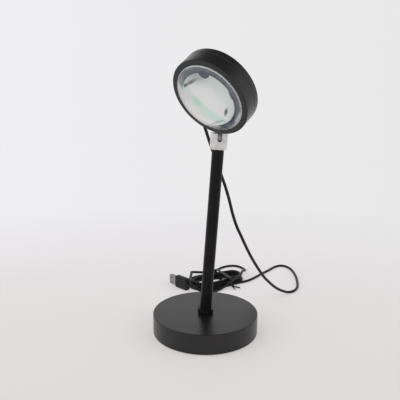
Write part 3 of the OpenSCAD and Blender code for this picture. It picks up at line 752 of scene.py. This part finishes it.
def seatSilicone():
    # slate-grey silicone seat, wetted to the glass: its tones get lighter towards the rim as painted
    # reflection, and its ovals include painted highlights, painted light and a painted reflection
    look = dict(
        # painted reflection: the tones step lighter towards the rim
        stops=[(25.2, "#5d5f6e"), (27.2, "#6d7080"), (28.2, "#8b8f9b"), (29.0, "#727686"),
               (30.2, "#a2a8ad"), (31.2, "#8d9399"), (32.4, "#ccd0d0"), (33.4, "#dee0df")],
        grain=0.6, depth=0.02,
        marks=[
            ((-19, 19.5), (9, 3.5), 42, 0.5, 0.6, "#75827f"),
            # painted highlights: a pale streak at the upper left and a white one at the right edge
            ((-17, 26.5), (8, 0.9), 32, 0.5, 0.9, "#dcdce2"),
            ((27.6, -12.8), (1.6, 8), -25, 0.5, 1.0, "#ffffff"),
            ((24, 18), (6, 4), 130, 0.6, 0.5, "#93a1a1"),
            ((-27, 12), (3, 6), 20, 0.6, 0.7, "#a3b1ae"),
            # painted light on the lower left, where the room's light reaches it through the lens
            ((-142.5, -158.3), (200, 200), 0, 0.012, 1.0, "#f4f7f6"),
            # painted reflection of the drum's front ring, dark, at the bottom
            ((5, -30), (11, 2.6), 10, 0.5, 0.9, "#3c3c3a"),
        ],
    )
    material, tree, shader = newMaterial("seatSilicone", Roughness=0.5, IOR=1.41)
    spot = place(tree, headFrame)
    radius = axisRadius(tree, addNode(tree, "SeparateXYZ", Vector=spot))
    colour = blots(tree, spot, bands(tree, radius, look["stops"]), look["marks"])
    layFinish(tree, shader, colour, None, [(mottle(tree, spot, look["grain"], 2), look["depth"])])
    return material


def seatOutline(steps=240):
    # the seat's opening, seen from the front, with its lug cut out of it
    points = []
    centre = lens["opening"] + lens["lugOut"]
    for k in range(steps):
        a = math.tau * k / steps
        r, away = lens["opening"], a - math.radians(lens["lug"])
        reach = lens["lugRadius"] ** 2 - (centre * math.sin(away)) ** 2
        if reach > 0 and math.cos(away) > 0:
            r = min(r, centre * math.cos(away) - math.sqrt(reach))
        points.append((r * math.cos(a), r * math.sin(a)))
    return points


def makeWetted(name, points, faces, material):
    # a thin skin just inside the glass
    piece = linkMesh(name, [Vector((x, y, lens["wet"])) * mm for x, y in points], faces, smooth=False)
    piece.data.transform(headFrame)
    skin = piece.modifiers.new("skin", "SOLIDIFY")
    skin.thickness = lens["skin"] * mm
    skin.offset = -1
    giveMaterial(piece, material)
    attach(piece, "head")


def makeLens():
    r, sag, c = lens["radius"], lens["sag"], lens["chamfer"]
    rim = lens["back"] + lens["edge"]
    dome = (r * r + sag * sag) / (2 * sag)
    widest = math.asin((r - c) / dome)
    profile = [(0, lens["back"])] + [(r * k / 12, lens["back"]) for k in range(1, 12)]
    profile += [(r - c, lens["back"]), (r, lens["back"] + c), (r, rim - c)]
    for k in range(lens["rings"]):
        a = widest * (1 - k / lens["rings"])
        profile.append((dome * math.sin(a), rim + sag - dome + dome * math.cos(a)))
    profile.append((0, rim + sag))
    obj = lathe("lensDome", profile, headFrame, 192)
    giveMaterial(obj, lensGlass(), groundGlass())
    toHead = headFrame.inverted()
    for face in obj.data.polygons:
        p = toHead @ face.center / mm
        if math.hypot(p.x, p.y) > r - c and p.z < rim:
            face.material_index = 1
    # the film fills the seat's opening and the seat reaches from there to the rim
    opening = seatOutline()
    count = len(opening)
    film = [(x * lens["filmFit"], y * lens["filmFit"]) for x, y in opening]
    rimCircle = [(x / math.hypot(x, y) * (r - c), y / math.hypot(x, y) * (r - c)) for x, y in opening]
    ring = [(k, count + k, count + (k + 1) % count, (k + 1) % count) for k in range(count)]
    makeWetted("lensFilm", film, [tuple(range(count))], dichroicFilm())
    makeWetted("lensSeat", opening + rimCircle, ring, seatSilicone())
    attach(obj, "head")
    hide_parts("lens")


makeLens()
print("lens made")


# USB plug: moulded body with finger grips, ribbed relief, rolled shell and gold contacts
def plugFrame():
    turn = math.radians(plug["turn"])
    axis = Vector((math.cos(turn), math.sin(turn), 0))
    return frameOf(plugPoint(0) * mm, axis, Vector((0, 0, 1)).cross(axis))


def roundedOutline(width, thick, corner, steps=6):
    # width lies along local X and thickness along local Y
    points = []
    for sideX, sideY, start in ((1, 1, 0), (-1, 1, 90), (-1, -1, 180), (1, -1, 270)):
        centre = sideX * (width / 2 - corner), sideY * (thick / 2 - corner)
        points += arcPoints(*centre, corner, start, start + 90, steps)
    return points


def makeMold():
    # three grooves across each broad face, with soft flanks and soft ends
    grips = dict(places=(-2.6, 0, 2.6), half=0.87273, flank=0.54545, depth=0.45, reach=0.62, fade=0.08)
    half, rounding = plug["moldLength"] / 2, 1.3
    stations = [(-half + rounding * (1 - math.cos(a)), rounding * (1 - math.sin(a)))
                for a in (math.radians(15 * k) for k in range(7))]
    middle = [-half + rounding + (2 * half - 2 * rounding) * k / 60 for k in range(61)]
    stations += [(z, 0) for z in middle]
    stations += [(-z, inset) for z, inset in reversed(stations[:7])]
    rings = []
    for z, inset in stations:
        dip = max(ease((grips["half"] - abs(z - at)) / grips["flank"]) for at in grips["places"])
        ring = []
        for x, y in roundedOutline(plug["moldWidth"], plug["moldThick"], plug["corner"], 8):
            x *= 1 - inset / (plug["moldWidth"] / 2)
            y *= 1 - inset / (plug["moldThick"] / 2)
            flat = 1 - ease((abs(x) / (plug["moldWidth"] / 2) - grips["reach"]) / grips["fade"])
            y -= math.copysign(grips["depth"] * dip * flat, y) if abs(y) > 1 else 0
            ring.append(Vector((x, y, z)) * mm)
        rings.append(ring)
    size = len(rings), len(rings[0])
    faces = gridFaces(*size) + endCaps(*size)
    body = linkMesh("plugBody", [p for ring in rings for p in ring], faces, sharp=50)
    body.data.transform(plugFrame())
    ribs = dict(count=4, start=0.8, end=0.6, length=0.9, grooveDepth=0.35, grooveLength=0.6)
    relief, low, high = plug["relief"], lead["diameter"] / 2 + 0.35, plug["moldThick"] / 2 - 0.9
    foot = -half - relief
    profile = [(lead["diameter"] / 2 - 0.1, foot), (low, foot)]
    for k in range(ribs["count"]):
        z = ribs["start"] + k * (relief - ribs["start"] - ribs["end"]) / ribs["count"]
        r, end = low + (high - low) * z / relief, z + ribs["length"]
        bottom = r - ribs["grooveDepth"]
        profile += [(r, foot + z), (r + 0.12, foot + end), (bottom, foot + end + 0.1),
                    (bottom + 0.05, foot + z + ribs["length"] + ribs["grooveLength"])]
    profile += [(high, -half), (high + 0.6, -half + 0.4), (0, -half + 0.4)]
    cone = lathe("plugRelief", profile, plugFrame(), 40)
    mold = softRubber("mouldedPvc", ("#131213", "#191819"), floorFrame, 0.35, 0.42)
    for piece in (body, cone):
        giveMaterial(piece, mold)
        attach(piece, "stand")
    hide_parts("usb_overmold")
    return [body, cone]


def makeShell():
    # rolled strip with a seam underneath and two latch windows in each broad face
    window = dict(at=3, width=2.5, start=6.2, length=2.5)
    w, t, wall = plug["shellWidth"], plug["shellThick"], plug["wall"]
    flatX = sorted(s * window["at"] + d * window["width"] / 2 for s in (-1, 1) for d in (-1, 1))
    length, lip, corner = plug["shellLength"], 0.25, 0.7
    outline = []
    for side in (1, -1):
        xs = [side * x for x in (w / 2 - corner, flatX[3], flatX[2], 0, flatX[1], flatX[0])]
        outline += [(x, side * t / 2) for x in xs]
        x, y, turn = w / 2 - corner, t / 2 - corner, 180 - 90 * side
        outline += arcPoints(-side * x, side * y, corner, turn, turn + 90, 5)
        outline += arcPoints(-side * x, -side * y, corner, turn + 90, turn + 180, 5)[:-1]
    start = plug["moldLength"] / 2
    stations = [0, 3, window["start"], window["start"] + window["length"], 10.5, length - lip]
    points = [Vector((x, y, start + z)) * mm for z in stations for x, y in outline]
    points += [Vector((x * (1 - 2 * lip / w), y * (1 - 2 * lip / t), start + length)) * mm
               for x, y in outline]
    around = len(outline)
    holes = {(2, k) for k in range(around)
             if abs(outline[k][1]) > t / 2 - 0.01 and outline[k][1] == outline[(k + 1) % around][1]
             and abs(abs(outline[k][0] + outline[(k + 1) % around][0]) / 2 - window["at"]) < 0.01}
    shell = linkMesh("plugShell", points, gridFaces(len(stations) + 1, around, skip=holes), sharp=50)
    shell.data.transform(plugFrame())
    thick = shell.modifiers.new("strip", "SOLIDIFY")
    thick.thickness = wall * mm
    thick.offset = -1
    giveMaterial(shell, nickelPlate())
    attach(shell, "stand")
    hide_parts("usb_shell")
    return shell


def makeContacts():
    # four spring strips on the tongue, the outer two reaching further forward
    strips = dict(places=[-3.5, -1, 1, 3.5], width=1.0, thick=0.15, lengths=[8.6, 7.6, 7.6, 8.6])
    top = -plug["shellThick"] / 2 + plug["wall"] + 1.8
    points, faces = [], []
    for x, length in zip(strips["places"], strips["lengths"]):
        first = len(points)
        low = plug["moldLength"] / 2 + 1.2
        for z, rise in ((low, 0), (low + 0.4, 1), (low + length - 0.6, 1), (low + length, 0.2)):
            points += [Vector((x + s * strips["width"] / 2, top + rise * up * strips["thick"], z)) * mm
                       for s, up in ((-1, 0.02), (1, 0.02), (1, 1.02), (-1, 1.02))]
        strip = gridFaces(4, 4) + endCaps(4, 4)
        faces += [tuple(first + i for i in face) for face in strip]
    obj = linkMesh("plugContacts", points, faces, sharp=30)
    obj.data.transform(plugFrame())
    giveMaterial(obj, goldFlash())
    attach(obj, "stand")
    return obj


plugPieces = makeMold() + [makeShell(), makeContacts(), nodes["usb_tongue"]]
print("plug made")


# tie: coated wire band round the hank, twisted at the front, with two tails
tie = dict(
    at=27, width=4, thick=0.8, height=9.9, low=0.9, corner=3.2, edge=0.3,
    twist=5, twistTurns=1.25, twistShare=0.35, twistRadius=0.45,  # turns and share of each tail's path
    roll=1.2, rollShare=0.45,  # turns of the ribbon about itself, and by what share of its path
    tailWidth=2.4, tailTurns=(-12, 38), tailLengths=(7.5, 9), tailBend=1.2,
)


def tailTwist(t):
    # the ribbon winds out of the twist and then stands on edge
    return math.pi / 2 + math.tau * tie["roll"] * (1 - ease(t / tie["rollShare"]))


def strapSection(width):
    return [(x * mm, y * mm) for x, y in roundedOutline(width, tie["thick"], tie["edge"], 3)]


def makeTie():
    turn = math.radians(hank["turn"])
    taper = math.asin((hank["leftRadius"] - hank["rightRadius"]) / hank["reach"])
    half = (hank["leftRadius"] - tie["at"] * math.sin(taper)) / math.cos(taper)
    foot = Vector((*hank["at"], tie["low"])) * mm
    matrix = frameOf(foot, (0, 0, 1), (-math.sin(turn), math.cos(turn), 0))
    outline = roundedOutline(2 * half + tie["thick"], tie["height"] + tie["thick"], tie["corner"], 8)
    loop = [Vector((tie["at"], y, z + tie["height"] / 2)) * mm for y, z in outline]
    # the strap's width lies across the loop, along the hank
    strap, along = strapSection(tie["width"]), Vector((1, 0, 0))
    band = sweep("tieBand", loop, strap, matrix, closed=True, side=along)
    tails = []
    root = Vector((tie["at"], -half - tie["thick"], tie["tailWidth"] / 2))
    for k, (angle, length) in enumerate(zip(tie["tailTurns"], tie["tailLengths"])):
        way = Vector((math.sin(math.radians(angle)), -math.cos(math.radians(angle)), 0))
        path, side = [], 1 if k else -1
        for i in range(41):
            f = i / 40 / tie["twistShare"]
            if f < 1:
                a = math.tau * tie["twistTurns"] * f + math.pi * k
                offset = Vector((math.cos(a), 0, math.sin(a))) * tie["twistRadius"]
                path.append((root + Vector((0, -tie["twist"] * f, 0)) + offset) * mm)
            else:
                g = (f - 1) / (1 / tie["twistShare"] - 1)
                bend = Vector((side * tie["tailBend"] * math.sin(math.pi * g), 0, 0))
                path.append((root + Vector((0, -tie["twist"], 0)) + way * length * g + bend) * mm)
        path = smoothCurve(path[::3] + [path[-1]], 4)
        tails.append(sweep(f"tieTail{k + 1}", path, strapSection(tie["tailWidth"]), matrix, tailTwist))
    coat = mouldedPlastic("tieCoating", ("#151516", "#1d1d1f"), floorFrame, 0.42, 3)
    for piece in [band] + tails:
        giveMaterial(piece, coat)
        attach(piece, "stand")
    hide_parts("twist_tie")
    return [band] + tails


tiePieces = makeTie()
print("tie made")


# studio: pale floor that fades into a pale surround, soft lamps
studio = dict(
    wall=("#efeef1", "#e8e8e8"), wallReach=0.35,  # left and right, and how far round the two meet
    ceiling="#69696b", ceilingReach=(0.48, 0.88),  # dim overhead, as sine of the height
    # the floor's two tones are painted shade and painted light: darker near the viewer, lighter far off,
    # making up for how the lamps' light falls off
    floor=("#dcd9d7", "#e6e3e5"), floorReach=(-160, 300),  # near and far
    floorCentre=(0, -300), floorRadius=(520, 880), ambient=0.62,
    floorPlain=0.55,  # share of the floor's own tone in what the camera sees of it
    lamps=[  # large soft boxes that don't show in what is glossy, where the surround does
        dict(name="keyLamp", place=(-1250, -550, 1050), size=(1700, 1700), watts=13),
        dict(name="fillLamp", place=(1400, -560, 850), size=(1500, 1500), watts=9.0),
        dict(name="topLamp", place=(0, 100, 1100), size=(900, 600), watts=1.6),
    ],
    lampAim=120,  # height that the lamps point at
)


def seenRays(tree):
    # 1 where the camera, a reflection or a refraction looks, 0 where light is gathered
    ray = addNode(tree, "LightPath")
    glassy = addNode(tree, "Math", dict(operation="MAXIMUM"), s0=ray.outputs["Is Glossy Ray"],
                     s1=ray.outputs["Is Transmission Ray"])
    return addNode(tree, "Math", dict(operation="MAXIMUM"), s0=ray.outputs["Is Camera Ray"],
                   s1=glassy.outputs[0]).outputs[0]


def makeFloor():
    inner, outer = studio["floorRadius"]
    centre, sides = Vector((*studio["floorCentre"], 0)) * mm, 96
    points = [centre] + [centre + Vector((x, y, 0)) for x, y in circleSection(outer * mm, sides)]
    faces = [(0, 1 + k, 1 + (k + 1) % sides) for k in range(sides)]
    floor = linkMesh("floor", points, faces, smooth=False)
    material, tree, shader = newMaterial("paperSweep", Roughness=0.8, Specular_IOR_Level=0.1)
    spot = place(tree, floorFrame)
    depth = addNode(tree, "SeparateXYZ", Vector=spot).outputs[1]
    near, far = studio["floorReach"]
    # painted shade and painted light: the floor darker near, lighter far
    tone = twoTones(tree, depth, studio["floor"], (near * mm, far * mm))
    tree.links.new(tone, shader.inputs["Base Color"])
    plain = addNode(tree, "Emission", Color=tone, Strength=1.0)
    seen = addNode(tree, "Math", dict(operation="MULTIPLY"), s0=seenRays(tree), s1=studio["floorPlain"])
    lit = addNode(tree, "MixShader", s0=seen.outputs[0], s1=shader.outputs[0], s2=plain.outputs[0])
    fromCentre = addNode(tree, "VectorMath", dict(operation="SUBTRACT"), s0=spot, s1=centre)
    away = addNode(tree, "VectorMath", dict(operation="LENGTH"), s0=fromCentre.outputs[0])
    fade = addNode(tree, "MapRange", s0=away.outputs["Value"], s1=inner * mm, s2=outer * mm)
    clear = addNode(tree, "BsdfTransparent")
    mixed = addNode(tree, "MixShader", s0=fade.outputs[0], s1=lit.outputs[0], s2=clear.outputs[0])
    output = next(n for n in tree.nodes if n.type == "OUTPUT_MATERIAL")
    tree.links.new(mixed.outputs[0], output.inputs["Surface"])
    giveMaterial(floor, material)


def makeSurround():
    world = bpy.data.worlds.new("surround")
    bpy.context.scene.world = world
    world.use_nodes = True
    tree = world.node_tree
    tree.nodes.clear()
    light = addNode(tree, "Background", Color=(1, 1, 1, 1), Strength=studio["ambient"])
    way = addNode(tree, "SeparateXYZ", Vector=addNode(tree, "TexCoord").outputs["Generated"])
    wall = twoTones(tree, way.outputs[0], studio["wall"], (-studio["wallReach"], studio["wallReach"]))
    start, end = studio["ceilingReach"]
    upward = addNode(tree, "MapRange", s0=way.outputs[2], s1=start, s2=end)
    tone = addNode(tree, "Mix", dict(data_type="RGBA"), s0=upward.outputs[0], s6=wall,
                   s7=linear(studio["ceiling"]))
    room = addNode(tree, "Background", Color=tone.outputs[2], Strength=1.0)
    mixed = addNode(tree, "MixShader", s0=seenRays(tree), s1=light.outputs[0], s2=room.outputs[0])
    addNode(tree, "OutputWorld", Surface=mixed.outputs[0])


def makeLamps():
    for values in studio["lamps"]:
        data = bpy.data.lights.new(values["name"], "AREA")
        data.shape = "RECTANGLE"
        data.size, data.size_y = (s * mm for s in values["size"])
        data.energy = values["watts"]
        softBox = addObject(values["name"], data)
        softBox.location = Vector(values["place"]) * mm
        softBox.visible_glossy = False
        away = softBox.location - Vector((0, 0, studio["lampAim"])) * mm
        softBox.rotation_euler = away.to_track_quat("Z", "Y").to_euler()


makeFloor()
makeSurround()
makeLamps()
bpy.context.scene.view_settings.view_transform = "Standard"
print("studio made")
